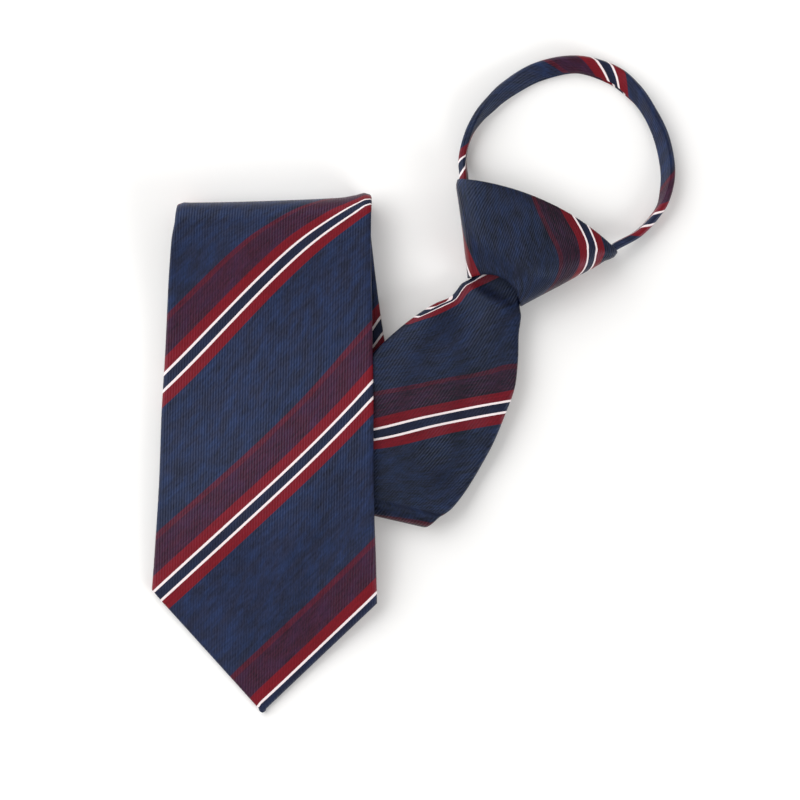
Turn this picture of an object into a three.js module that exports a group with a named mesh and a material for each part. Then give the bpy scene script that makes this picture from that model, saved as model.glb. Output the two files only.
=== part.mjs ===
// A zipper tie laid out for sale. Its blade is folded twice, its cloth knot is wrapped over a moulded core,
// and its neck loop is a folded strap whose zipped tail runs down behind the blade.
// Millimetres, +Z up. The tie lies on the plane Z = 0 with its front up, and the origin is under its middle.

import * as THREE from 'three';

// Cloth, from the photograph's scale of 80 mm across the widest part of the blade.
const clothThickness = 2.4; // the lined blade, front cloth to back seam
const seamDepth = 0.5; // groove where the two back flaps meet
const seamWidth = 2.4;
const edgeRounding = 1.6; // how far in from a folded edge the cloth is full thick
const clearance = 0.3; // between pieces that touch
const layerGap = 0.6; // air between the upper and the front layer of the blade

// Blade lengths along its middle, and widths across it.
const gripLength = 7.4; // hidden in the knot's mouth
const upperLength = 89.8; // from the knot's mouth to the bottom fold
const middleLength = 102; // back up behind, from the bottom fold to the top fold
const frontLength = 176; // from the top fold down to the tip
const tipLength = 41.2; // from the blade's shoulders to its tip
const bladeWidth = 80; // at the shoulders
const topFoldWidth = 68.5;
const bottomFoldWidth = 57;
const tipWidth = 1.6;

// Headings are in degrees in plan, anticlockwise from +X.
const upperTurn = -14.2; // how far the upper layer swings round on its way down
const bottomFoldAngle = -13; // the line of the bottom fold
const middleTurn = -9.7;
const topFoldAngle = 2.6; // the line of the top fold

// Knot: a flattened cone of cloth, wide at the neck and narrow at its mouth.
const mouthPlace = { x: 28.7, y: 32.2 }; // the middle of the knot's mouth, in plan
const knotAxis = 61.7; // from the mouth up to the neck
const knotHeight = 37.3;
const knotTopHalfWidth = 35.2; // at that height
const mouthHalfWidth = 10.9;
const knotThickness = 19;
const knotWall = 1.2;
const rimDrop = 8.1; // how far the top edge falls towards the ends
const rimDropReach = 37.8;
const rimPeak = 8; // the top edge is highest this far to the right of the axis
const mouthArch = 5.9; // how far the mouth's edge rises in its middle
const knotCorners = 28; // points round each of the knot's sections
const coreFoot = 8.4; // the core's lower end, up from the mouth
const coreRecess = 3; // its upper end, down from the top edge

// Neck loop: a strap folded along its length, standing on edge at the knot and flat at the far side.
const strapWidth = 7.4;
const strapThickness = 2.5;
const loopHalfWidth = 36;
const loopCentreUp = 54.3; // from the mouth, up the knot's axis
const armInset = 4.6; // from the knot's side to the middle of each arm
const armHeight = 6.2; // of the arms' middle above the surface, in the knot

// Zip: the tail is the two closed tapes, with its chain on the side that faces down.
const tailWidth = 13;
const tailTape = 1.3;
const tailLength = 74;
const chainThickness = 0.9;
const chainWidth = 4.4;
const chainPitch = 2.5;
const chainEnd = 6; // bare tape left at the tail's lower end
const sliderLength = 11;
const sliderWidth = 8.4;
const sliderThickness = 2;
const sliderPlace = 9; // of the slider's middle below the mouth

// Heights of the blade's middle surface, from the stack of what lies under it.
const middleLevel = clothThickness / 2;
const chainLevel = clothThickness + clearance;
const tailLevel = chainLevel + chainThickness + clearance;
const upperLevel = tailLevel + tailTape + clearance + clothThickness / 2;
const frontLevel = upperLevel + clothThickness + layerGap;
const mouthLevel = 8.4;

// Half width of the blade as a share of the bottom fold's, down the upper layer.
const upperFlare = [
  { at: -0.08, half: 0.28 },
  { at: 0.0, half: 0.31 },
  { at: 0.025, half: 0.39 },
  { at: 0.08, half: 0.45 },
  { at: 0.15, half: 0.58 },
  { at: 0.26, half: 0.75 },
  { at: 0.43, half: 0.91 },
  { at: 0.6, half: 0.99 },
  { at: 1.0, half: 1.0 },
];

// Half width of the front layer: a share of the way from the top fold's to the shoulders'.
const frontFlare = [
  { at: 0.0, half: 0.0 },
  { at: 0.05, half: 0.19 },
  { at: 0.17, half: 0.34 },
  { at: 0.4, half: 0.6 },
  { at: 0.57, half: 0.71 },
  { at: 0.77, half: 1.0 },
];

// Height of the upper layer, as a share of the way from its level at the fold to the mouth's,
// with its arch across and its valley down the middle as shares of the knot's thickness.
const upperFall = [
  { at: -0.06, height: 1.0, arch: 0.06, valley: 0.0 },
  { at: 0.03, height: 1.0, arch: 0.08, valley: 0.0 },
  { at: 0.15, height: 1.3, arch: 0.17, valley: 0.03 },
  { at: 0.3, height: 1.1, arch: 0.2, valley: 0.11 },
  { at: 0.5, height: 0.5, arch: 0.12, valley: 0.1 },
  { at: 0.75, height: 0.1, arch: 0.03, valley: 0.03 },
  { at: 1.0, height: 0.0, arch: 0.0, valley: 0.0 },
];

// Height of the front layer, as a share of its height over the surface at the top fold.
const frontFall = [
  { at: 0.0, height: 1.0 },
  { at: 0.3, height: 1.02 },
  { at: 0.62, height: 0.98 },
  { at: 0.76, height: 0.68 },
  { at: 0.9, height: 0.22 },
  { at: 1.0, height: 0.0 },
];

// Thickness of the knot up its axis, and how far its back stands off the surface, as shares of its thickness.
const knotBody = [
  { at: -0.1, thick: 0.66, off: 0.05 },
  { at: 0.1, thick: 0.82, off: 0.03 },
  { at: 0.35, thick: 1.0, off: 0.02 },
  { at: 0.65, thick: 0.95, off: 0.02 },
  { at: 1.0, thick: 0.72, off: 0.03 },
];

// Neck loop, anticlockwise from the right arm: the bearing from the loop's centre, its reach as a share of the
// half width, the roll of the strap from flat, and its width as a share of the strap's.
const loopRoute = [
  { bearing: -46, reach: 1.02, roll: 84, width: 0.8 },
  { bearing: -30, reach: 1.045, roll: 82, width: 0.88 },
  { bearing: -19, reach: 1.026, roll: 63, width: 0.96 },
  { bearing: -6, reach: 0.989, roll: 50, width: 1.0 },
  { bearing: 12, reach: 0.936, roll: 45, width: 1.0 },
  { bearing: 30, reach: 0.92, roll: 56, width: 1.0 },
  { bearing: 46, reach: 0.927, roll: 38, width: 1.0 },
  { bearing: 62, reach: 0.927, roll: 25, width: 1.0 },
  { bearing: 84, reach: 0.914, roll: 35, width: 1.0 },
  { bearing: 108, reach: 0.884, roll: 12, width: 1.0 },
  { bearing: 130, reach: 0.884, roll: 24, width: 1.0 },
  { bearing: 146, reach: 0.912, roll: 43, width: 1.0 },
  { bearing: 156, reach: 0.957, roll: 64, width: 1.0 },
  { bearing: 167, reach: 0.999, roll: 80, width: 0.92 },
  { bearing: 180, reach: 1.026, roll: 76, width: 0.84 },
];

// The strap's folded section, anticlockwise: shares of its half width and half thickness.
// The lower layer stands out past the upper one along the loop's inside.
const strapSection = [
  { across: -1.0, out: -0.55 },
  { across: -0.92, out: -1.0 },
  { across: 0.84, out: -1.0 },
  { across: 1.0, out: -0.45 },
  { across: 1.0, out: 0.45 },
  { across: 0.84, out: 1.0 },
  { across: -0.64, out: 1.0 },
  { across: -0.76, out: 0.55 },
  { across: -0.7, out: 0.05 },
  { across: -0.94, out: -0.05 },
];

const up = new THREE.Vector3(0, 0, 1);
const rad = THREE.MathUtils.degToRad;
const lerp = THREE.MathUtils.lerp;

// A unit vector in plan.
function toward(angle) {
  return new THREE.Vector3(Math.cos(rad(angle)), Math.sin(rad(angle)), 0);
}

// A smooth curve through one column of a table, level past its ends.
function read(rows, column, at) {
  const last = rows.length - 1;
  if (at <= rows[0].at) return rows[0][column];
  if (at >= rows[last].at) return rows[last][column];
  const i = rows.findIndex((row) => row.at > at) - 1;
  const slope = (k) => {
    const a = rows[Math.max(k - 1, 0)];
    const b = rows[Math.min(k + 1, last)];
    return (b[column] - a[column]) / (b.at - a.at);
  };
  const span = rows[i + 1].at - rows[i].at;
  const t = (at - rows[i].at) / span;
  const rise = t * t * (3 - 2 * t);
  return (
    lerp(rows[i][column], rows[i + 1][column], rise) +
    span * (t * (1 - t) ** 2 * slope(i) - t * t * (1 - t) * slope(i + 1))
  );
}

// A closed solid from rings of equal length, with flat ends, or joined end to end if it is a tube.
function solidFromRings(rings, joined = false) {
  const count = rings[0].length;
  const points = rings.flat();
  const faces = [];
  const spans = joined ? rings.length : rings.length - 1;
  for (let r = 0; r < spans; r++) {
    for (let k = 0; k < count; k++) {
      const next = (k + 1) % count;
      const here = r * count;
      const there = ((r + 1) % rings.length) * count;
      faces.push([here + k, here + next, there + next], [here + k, there + next, there + k]);
    }
  }
  if (!joined) {
    [0, rings.length - 1].forEach((r) => {
      const middle = points.length;
      const sum = rings[r].reduce((total, point) => total.add(point), new THREE.Vector3());
      points.push(sum.divideScalar(count));
      for (let k = 0; k < count; k++) {
        const face = [middle, r * count + k, r * count + ((k + 1) % count)];
        faces.push(r === 0 ? face.reverse() : face);
      }
    });
  }
  const volume = faces.reduce((total, [a, b, c]) => {
    return total + points[a].dot(new THREE.Vector3().crossVectors(points[b], points[c]));
  }, 0);
  const outward = volume > 0 ? faces : faces.map((face) => [...face].reverse());
  const geometry = new THREE.BufferGeometry();
  geometry.setAttribute(
    'position',
    new THREE.Float32BufferAttribute(points.flatMap((p) => [p.x, p.y, p.z]), 3),
  );
  geometry.setIndex(outward.flat());
  geometry.computeVertexNormals();
  return geometry;
}

// The place and heading after some distance along a stretch that bends evenly.
function follow(start, heading, turn, length, distance) {
  const now = heading + (turn * distance) / length;
  const radius = length / rad(turn);
  const place = start.clone();
  place.x += radius * (Math.sin(rad(now)) - Math.sin(rad(heading)));
  place.y += radius * (Math.cos(rad(heading)) - Math.cos(rad(now)));
  return { place, heading: now };
}

// The shares of a stretch's length at which it has a section.
function shares(first, steps) {
  return Array.from({ length: steps }, (_, i) => lerp(first, 1, i / steps));
}

// The angle that a section turns through from square to a fold's line.
function easedLine(square, line, share) {
  return lerp(square, line, share * share * (3 - 2 * share));
}

// The sections of a roll about a fold line: the cloth goes round half a turn, to the side that lift gives.
function roll(start, heading, line, radius, side, halfWidth, steps) {
  const ahead = Math.sin(rad(heading - line)) > 0 ? toward(line + 90) : toward(line - 90);
  const beside = Math.cos(rad(heading - line)) / Math.abs(Math.sin(rad(heading - line)));
  return Array.from({ length: steps + 1 }, (_, i) => {
    const turned = (Math.PI * i) / steps;
    return {
      place: start
        .clone()
        .addScaledVector(toward(line), radius * turned * beside)
        .addScaledVector(ahead, radius * Math.sin(turned))
        .addScaledVector(up, side * radius * (1 - Math.cos(turned))),
      across: toward(line),
      out: up.clone().multiplyScalar(-side * Math.cos(turned)).addScaledVector(ahead, Math.sin(turned)),
      half: halfWidth / Math.abs(Math.sin(rad(heading - line))),
      arch: 0,
      valley: 0,
    };
  });
}

// The blade's sections, from the knot's mouth over both folds to the tip.
function bladeSections() {
  const sections = [];
  const mouth = new THREE.Vector3(mouthPlace.x, mouthPlace.y, 0);
  const upperHeading = knotAxis - 180;
  const upperEnd = follow(mouth, upperHeading, upperTurn, upperLength, upperLength);
  shares(-gripLength / upperLength, 24).forEach((share) => {
    const { place, heading } = follow(mouth, upperHeading, upperTurn, upperLength, share * upperLength);
    const line = easedLine(heading + 90, bottomFoldAngle, Math.max(share, 0));
    place.z = lerp(upperLevel, mouthLevel, read(upperFall, 'height', share));
    const half = (bottomFoldWidth / 2) * read(upperFlare, 'half', share);
    sections.push({
      place,
      across: toward(line),
      out: up,
      half: half / Math.cos(rad(heading + 90 - line)),
      arch: knotThickness * read(upperFall, 'arch', share),
      valley: knotThickness * read(upperFall, 'valley', share),
    });
  });

  const bottomStart = upperEnd.place.setZ(upperLevel);
  const bottomRoll = (upperLevel - middleLevel) / 2;
  const bottom = roll(
    bottomStart, upperEnd.heading, bottomFoldAngle, bottomRoll, -1, bottomFoldWidth / 2, 8,
  );
  sections.push(...bottom);

  const middleStart = bottom.at(-1).place;
  const middleHeading = 2 * bottomFoldAngle - upperEnd.heading;
  const middleEnd = follow(middleStart, middleHeading, middleTurn, middleLength, middleLength);
  shares(0, 12).slice(1).forEach((share) => {
    const { place, heading } = follow(
      middleStart, middleHeading, middleTurn, middleLength, share * middleLength,
    );
    const square = heading - 90;
    const fromBottom = easedLine(bottomFoldAngle, square, Math.min(2 * share, 1));
    const line = easedLine(fromBottom, topFoldAngle, Math.max(2 * share - 1, 0));
    const half = lerp(bottomFoldWidth, topFoldWidth, share) / 2;
    sections.push({
      place,
      across: toward(line),
      out: up.clone().negate(),
      half: half / Math.cos(rad(square - line)),
      arch: 0,
      valley: 0,
    });
  });

  const topRoll = (frontLevel - middleLevel) / 2;
  const top = roll(middleEnd.place, middleEnd.heading, topFoldAngle, topRoll, 1, topFoldWidth / 2, 10);
  sections.push(...top);

  const frontStart = top.at(-1).place;
  const frontHeading = 2 * topFoldAngle - middleEnd.heading;
  const shoulder = 1 - tipLength / frontLength;
  const down = [...shares(0, 18).slice(1).map((share) => share * shoulder), shoulder];
  const point = [0.33, 0.66, 1].map((share) => lerp(shoulder, 1, share));
  [...down, ...point].forEach((share) => {
    const place = frontStart.clone().addScaledVector(toward(frontHeading), share * frontLength);
    place.z = lerp(middleLevel, frontLevel, read(frontFall, 'height', share));
    const square = frontHeading + 90;
    const line = easedLine(topFoldAngle, square, Math.min(3 * share, 1));
    const shoulderHalf = lerp(topFoldWidth, bladeWidth, read(frontFlare, 'half', share)) / 2;
    const half = lerp(shoulderHalf, tipWidth / 2, Math.max(share - shoulder, 0) / (1 - shoulder));
    sections.push({ place, across: toward(line), out: up, half, arch: 0, valley: 0 });
  });
  return sections;
}

// The ring of points of one section of the blade: a flat pad with rounded edges and a seam down its back.
function bladeRing({ place, across, out, half, arch, valley }) {
  const thick = clothThickness / 2;
  const inset = Math.min(edgeRounding, half * 0.8);
  const seam = Math.min(seamWidth, half * 0.3) / 2;
  const groove = seamDepth * Math.min(1, half / bladeWidth * 4);
  const front = [
    { x: -half + inset * 0.3, y: thick * 0.75 },
    { x: -half + inset, y: thick },
    { x: -half * 0.45, y: thick },
    { x: 0, y: thick },
    { x: half * 0.45, y: thick },
    { x: half - inset, y: thick },
    { x: half - inset * 0.3, y: thick * 0.75 },
  ];
  const back = [
    { x: half - inset * 0.3, y: -thick * 0.75 },
    { x: half - inset, y: -thick },
    { x: half * 0.45, y: -thick },
    { x: seam, y: -thick },
    { x: 0, y: groove - thick },
    { x: -seam, y: -thick },
    { x: -half * 0.45, y: -thick },
    { x: -half + inset, y: -thick },
    { x: -half + inset * 0.3, y: -thick * 0.75 },
  ];
  const outline = [{ x: -half, y: 0 }, ...front, { x: half, y: 0 }, ...back];
  return outline.map(({ x, y }) => {
    const share = x / half;
    const crown = arch * (1 - share * share) - valley * Math.exp(-10 * share * share);
    return place.clone().addScaledVector(across, x).addScaledVector(out, y + crown);
  });
}

// A point of the knot in its own frame, put in plan: a up the axis, p to the right of it.
function inKnot(a, p, z) {
  return new THREE.Vector3(mouthPlace.x, mouthPlace.y, z)
    .addScaledVector(toward(knotAxis), a)
    .addScaledVector(toward(knotAxis - 90), p);
}

// Half the knot's width, some way up its axis.
function knotHalf(a) {
  return lerp(mouthHalfWidth, knotTopHalfWidth, a / knotHeight);
}

function topRim(p) {
  return knotHeight - rimDrop * ((p - rimPeak) / rimDropReach) ** 2;
}

function mouthRim(p) {
  return mouthArch * (1 - (p / mouthHalfWidth) ** 2);
}

// A ring of the knot's skin, some way in from its outside, between two edges that are given across it.
function knotRing(inset, lower, upper, share) {
  return Array.from({ length: knotCorners }, (_, i) => {
    const angle = (2 * Math.PI * i) / knotCorners;
    const c = Math.cos(angle);
    const s = Math.sin(angle);
    let a = 0;
    let p = 0;
    for (let pass = 0; pass < 40; pass++) {
      p = (knotHalf(a) - inset) * Math.sign(c) * Math.abs(c) ** 0.72;
      a = lerp(a, lerp(lower(p), upper(p), share), 0.6);
    }
    const thick = knotThickness * read(knotBody, 'thick', a / knotHeight);
    const off = knotThickness * read(knotBody, 'off', a / knotHeight);
    const waist = 0.42 * thick;
    const reach = (s > 0 ? thick - waist : waist) - inset;
    const z = off + waist + Math.sign(s) * reach * Math.abs(s) ** (s > 0 ? 0.8 : 0.55);
    return inKnot(a, p, z);
  });
}

// The knot's wrap: a tube of cloth, open at the top edge and at the mouth, with rounded edges.
function knotWrap() {
  const steps = 8;
  const outside = Array.from({ length: steps + 1 }, (_, i) => knotRing(0, mouthRim, topRim, i / steps));
  const inside = Array.from({ length: steps + 1 }, (_, i) => knotRing(knotWall, mouthRim, topRim, i / steps));
  const lip = 0.35 * knotWall;
  const topLip = knotRing(knotWall / 2, mouthRim, (p) => topRim(p) + lip, 1);
  const mouthLip = knotRing(knotWall / 2, (p) => mouthRim(p) - lip, topRim, 0);
  return solidFromRings([...outside, topLip, ...inside.reverse(), mouthLip], true);
}

// The moulded core that the knot is wrapped over.
function knotCore() {
  const steps = 5;
  const foot = () => coreFoot;
  const head = (p) => topRim(p) - coreRecess;
  const inset = knotWall + 2 * clearance;
  return solidFromRings(
    Array.from({ length: steps + 1 }, (_, i) => knotRing(inset, foot, head, i / steps)),
  );
}

// The middle of an arm of the neck loop on the side given, at a height above the knot's top edge.
function armPoint(side, above) {
  let p = side * knotTopHalfWidth;
  for (let pass = 0; pass < 40; pass++) {
    p = lerp(p, side * (knotHalf(topRim(p) + above) - armInset), 0.6);
  }
  return inKnot(topRim(p) + above, p, armHeight);
}

// The neck loop, from the right arm round to the left one.
function neckLoop() {
  const centre = inKnot(loopCentreUp, 0, 0);
  const inCore = 3 * clearance - coreRecess;
  const knots = [
    { place: armPoint(1, inCore), roll: 84, width: 0.62 },
    { place: armPoint(1, 1), roll: 84, width: 0.66 },
    ...loopRoute.map((row) => {
      const place = centre.clone().addScaledVector(toward(row.bearing), row.reach * loopHalfWidth);
      const width = strapWidth * row.width;
      place.z = (width * Math.sin(rad(row.roll)) + strapThickness * Math.cos(rad(row.roll))) / 2;
      place.z += clearance;
      return { place, roll: row.roll, width: row.width };
    }),
    { place: armPoint(-1, 1), roll: 74, width: 0.66 },
    { place: armPoint(-1, inCore), roll: 74, width: 0.62 },
  ];
  const route = new THREE.CatmullRomCurve3(knots.map((row) => row.place), false, 'centripetal');
  const rows = knots.map((row, i) => ({ at: i / (knots.length - 1), ...row }));
  const steps = 60;
  return solidFromRings(
    Array.from({ length: steps + 1 }, (_, i) => {
      const share = i / steps;
      const place = route.getPoint(share);
      const ahead = route.getTangent(share);
      const inward = new THREE.Vector3().crossVectors(up, ahead).normalize();
      const above = new THREE.Vector3().crossVectors(ahead, inward);
      const turned = rad(read(rows, 'roll', share));
      const across = inward.clone().multiplyScalar(-Math.cos(turned)).addScaledVector(above, Math.sin(turned));
      const out = above.clone().multiplyScalar(Math.cos(turned)).addScaledVector(inward, Math.sin(turned));
      const width = strapWidth * read(rows, 'width', share);
      return strapSection.map((corner) =>
        place
          .clone()
          .addScaledVector(across, (corner.across * width) / 2)
          .addScaledVector(out, (corner.out * strapThickness) / 2),
      );
    }),
  );
}

// A flat outline in the tail's own frame, x across it and y down it, laid at a height and given a thickness.
function onTail(outline, level, thickness) {
  const geometry = new THREE.ExtrudeGeometry(new THREE.Shape(outline), {
    depth: thickness,
    bevelEnabled: false,
  });
  geometry.rotateZ(rad(knotAxis - 90));
  return geometry.translate(mouthPlace.x, mouthPlace.y, level);
}

// The two closed tapes.
function tailTapes() {
  const half = tailWidth / 2;
  const corner = 2;
  const outline = [
    [-half, coreFoot - clearance],
    [-half, corner - tailLength],
    [corner - half, -tailLength],
    [half - corner, -tailLength],
    [half, corner - tailLength],
    [half, coreFoot - clearance],
  ];
  return onTail(outline.map(([x, y]) => new THREE.Vector2(x, y)), tailLevel, tailTape);
}

// The closed chain: teeth from both sides in turn along a spine.
function tailChain() {
  const count = Math.floor((tailLength - chainEnd) / chainPitch);
  const tooth = chainWidth / 2;
  const root = tooth * 0.62;
  const gap = chainPitch * 0.3;
  const right = [];
  const left = [];
  for (let i = 0; i < count; i++) {
    const y = coreFoot - clearance - i * chainPitch;
    right.push([tooth, y], [tooth, y - chainPitch + gap], [root, y - chainPitch + gap], [root, y - chainPitch]);
    left.push([-root, y], [-root, y - gap], [-tooth, y - gap], [-tooth, y - chainPitch]);
  }
  const outline = [...left, ...right.reverse()].map(([x, y]) => new THREE.Vector2(x, y));
  return onTail(outline, chainLevel, chainThickness);
}

// The slider's lower plate with its pull, in one plain piece under the chain.
function zipSlider() {
  const half = sliderWidth / 2;
  const top = sliderLength / 2 - sliderPlace;
  const foot = -sliderLength / 2 - sliderPlace;
  const outline = [
    [-half, top],
    [-half, top - sliderLength * 0.45],
    [-half * 0.55, foot],
    [half * 0.55, foot],
    [half, top - sliderLength * 0.45],
    [half, top],
    [half * 0.4, top + half * 0.3],
    [-half * 0.4, top + half * 0.3],
  ];
  const points = outline.map(([x, y]) => new THREE.Vector2(x, y));
  return onTail(points, chainLevel - clearance - sliderThickness, sliderThickness);
}

function piece(name, geometry, colour, roughness, metalness = 0) {
  const material = new THREE.MeshStandardMaterial({ color: colour, roughness, metalness });
  const mesh = new THREE.Mesh(geometry, material);
  mesh.name = name;
  return mesh;
}

const navy = 0x2b3350;
const tie = new THREE.Group();
tie.add(piece('blade', solidFromRings(bladeSections().map(bladeRing)), navy, 0.6));
tie.add(piece('knot_wrap', knotWrap(), navy, 0.6));
tie.add(piece('knot_core', knotCore(), 0x1c1d22, 0.5));
tie.add(piece('neck_loop', neckLoop(), navy, 0.6));
tie.add(piece('zip_tail', tailTapes(), 0x1f2540, 0.8));
tie.add(piece('zip_chain', tailChain(), 0x252a3c, 0.4));
tie.add(piece('zip_slider', zipSlider(), 0x8b8d92, 0.35, 0.9));

// The origin goes under the middle of the whole tie, on the surface that it lies on.
const box = new THREE.Box3().setFromObject(tie);
const middle = box.getCenter(new THREE.Vector3());
tie.position.set(-middle.x, -middle.y, -box.min.z);

export default tie;
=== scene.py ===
import math

import bpy
from bpy.props import FloatProperty, FloatVectorProperty, PointerProperty
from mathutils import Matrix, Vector


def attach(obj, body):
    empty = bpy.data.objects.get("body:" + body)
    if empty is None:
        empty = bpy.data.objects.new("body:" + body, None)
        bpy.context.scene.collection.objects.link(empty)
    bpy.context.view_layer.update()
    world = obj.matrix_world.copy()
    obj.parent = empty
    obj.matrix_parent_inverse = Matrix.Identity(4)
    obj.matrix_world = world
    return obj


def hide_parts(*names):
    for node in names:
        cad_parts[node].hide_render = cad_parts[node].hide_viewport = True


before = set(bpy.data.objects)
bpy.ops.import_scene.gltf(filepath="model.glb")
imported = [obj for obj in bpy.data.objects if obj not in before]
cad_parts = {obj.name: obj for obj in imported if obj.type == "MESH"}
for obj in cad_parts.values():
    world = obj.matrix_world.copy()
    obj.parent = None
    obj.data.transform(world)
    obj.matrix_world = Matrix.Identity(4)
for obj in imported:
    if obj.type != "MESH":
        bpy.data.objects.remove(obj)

bl_info = {
    "name": "Zipper Tie",
    "version": (1, 0, 0),
    "blender": (4, 5, 0),
    "location": "View3D > Sidebar > Tie",
    "description": "Models a striped zipper tie that is laid out with its blade folded under itself",
    "category": "Add Mesh",
}

UP = Vector((0.0, 0.0, 1.0))

# Where the knot's mouth is in plan, and which way each stretch of the blade heads there.
# Headings are in degrees, anticlockwise from +X.
MOUTH = Vector((0.02889, 0.03211, 0.0))
KNOT_AXIS = 61.7
UPPER_TURN = -14.2
BOTTOM_FOLD_ANGLE = -13.0
MIDDLE_TURN = -8.3
TOP_FOLD_ANGLE = 2.6
FRONT_HEADING = -91.15

# The stripes' angle from square across the blade's ribs, in degrees.
STRIPE_ANGLE = 46.3

# The blade's upper layer: how far down it, how far it reaches to either side as shares of half the
# bottom fold's width, and its height at its left edge, middle and right edge in millimetres.
UPPER_TABLE = (
    # at, left, right, left height, middle height, right height
    (-0.09, 0.270, 0.270, 7.4, 7.4, 7.4),
    (0.00, 0.345, 0.350, 7.0, 7.5, 7.2),
    (0.025, 0.405, 0.420, 6.9, 8.9, 7.5),
    (0.10, 0.448, 0.520, 6.6, 10.2, 8.0),
    (0.15, 0.560, 0.610, 6.8, 10.2, 8.0),
    (0.20, 0.645, 0.695, 7.2, 10.2, 8.0),
    (0.285, 0.755, 0.818, 8.0, 10.2, 7.8),
    (0.39, 0.850, 0.895, 8.8, 9.8, 7.6),
    (0.52, 0.930, 0.980, 9.2, 9.4, 7.4),
    (0.66, 1.005, 1.045, 9.4, 8.6, 7.0),
    (0.76, 1.045, 1.095, 9.4, 8.3, 7.0),
    (0.90, 1.105, 1.162, 9.0, 8.4, 7.8),
    (0.955, 1.127, 1.174, 8.85, 8.55, 8.3),
    (1.00, 1.145, 1.154, 8.7, 8.7, 8.7),
)

# Soft folds of the upper layer below the knot: how wide and how high each is, and the places that it runs
# through, all in millimetres.
UPPER_FOLDS = (
    (9.5, -2.8, (21.0, 34.6), (18.5, 18.7), (17.0, -2.5), (15.0, -28.0)),
    (6.5, 1.0, (6.0, 22.5), (-0.4, 11.6), (-4.0, -8.0)),
)

# The front layer: how far it reaches to either side of its middle line, as shares of half the blade's width.
FRONT_TABLE = (
    # at, left, right
    (0.00, 0.8530, 0.8830),
    (0.03, 0.8760, 0.8840),
    (0.068, 0.8890, 0.8860),
    (0.136, 0.9050, 0.8970),
    (0.27, 0.9230, 0.9190),
    (0.40, 0.9460, 0.9380),
    (0.54, 0.9560, 0.9510),
    (0.68, 0.9840, 0.9830),
    (0.745, 1.0000, 0.9960),
    (0.78, 1.0080, 1.0020),
)

# Height of the front layer at its left edge, middle and right edge, as shares of its height at the top fold.
FRONT_HEIGHTS = (
    # at, left, middle, right
    (0.00, 1.00, 1.00, 1.00),
    (0.05, 0.90, 0.95, 0.98),
    (0.12, 0.62, 0.76, 0.88),
    (0.20, 0.40, 0.58, 0.78),
    (0.28, 0.30, 0.52, 0.76),
    (0.40, 0.26, 0.62, 0.84),
    (0.52, 0.26, 0.78, 0.90),
    (0.62, 0.22, 0.78, 0.86),
    (0.70, 0.14, 0.58, 0.66),
    (0.80, 0.06, 0.26, 0.32),
    (0.90, 0.01, 0.06, 0.08),
    (1.00, 0.00, 0.00, 0.00),
)

# How much shorter the bottom fold's edge is on the right, where its corner is round, and how much less than
# the top fold the middle layer reaches to either side where it meets it, in metres.
ROUND_CORNER = 0.0007
MIDDLE_DRAW = 0.0003

# The blade's section: the least share of its half width that is flat, the most that the round of an edge
# takes, and the groove at the back seam, with its width and depth and the half width from which it is full.
FLAT_SHARE = 0.2
ROUND_SHARE = 0.8
SEAM_WIDTH = 0.0012
SEAM_DEPTH = 0.0006
SEAM_FULL = 0.02

# How much of its width the blunt end of the point loses to its round.
END_ROUND = 0.96

# The blade's edges are shaded as sharp where they turn by more than this, in degrees.
CREASE_ANGLE = 50

# How far the top fold's edge draws in, somewhere across the blade, in millimetres, and how far it stands to
# the right of the layers, in metres.
TOP_EDGE = (
    # across, in
    (-1.0, 0.7),
    (-0.96, 0.3),
    (-0.9, 0.5),
    (-0.3, 1.05),
    (0.7, 1.2),
    (0.88, 0.45),
    (0.96, -0.15),
    (1.0, 0.3),
)
TOP_EDGE_SHIFT = 0.0006

# The knot up its axis: how far it reaches to either side as shares of half its top width, and its thickness
# and how far its back stands off the surface as shares of its thickness.
KNOT_TABLE = (
    # at, left, right, thick, off
    (-0.10, 0.260, 0.255, 0.66, 0.05),
    (0.00, 0.310, 0.303, 0.74, 0.04),
    (0.22, 0.467, 0.452, 0.90, 0.03),
    (0.36, 0.566, 0.550, 1.00, 0.02),
    (0.50, 0.672, 0.645, 0.99, 0.02),
    (0.625, 0.767, 0.735, 0.96, 0.02),
    (0.72, 0.840, 0.795, 0.92, 0.02),
    (0.78, 0.866, 0.830, 0.89, 0.02),
    (0.84, 0.866, 0.886, 0.86, 0.03),
    (0.90, 0.866, 0.900, 0.82, 0.03),
    (1.00, 0.866, 0.900, 0.72, 0.03),
)

# The knot's section round its axis: the powers that shape its corners, its front and its back, and the share
# of its thickness that is behind its widest line.
KNOT_CORNERS = 0.66
KNOT_FRONT = 0.62
KNOT_BACK = 0.55
KNOT_WAIST = 0.42

# The half width over which the knot's top edge falls by its full drop, in metres.
RIM_REACH = 0.0378

# A point of the knot's edge depends on itself, so it is found in steps: how many, and how far each goes.
SETTLE_STEPS = 40
SETTLE_SHARE = 0.6

# The knot's place on its flat cloth, across the stripes and along them, is a curve in powers of its place
# on the knot, and the stripes bend further where the cloth turns down on the right. All in centimetres.
KNOT_CLOTH = (-0.682 + 0.0j, 0.5655 - 1.0020j, 0.0505 - 0.00425j, -0.006875 + 0.010625j)
KNOT_BEND = 2.8
KNOT_BEND_START = 0.4

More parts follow.
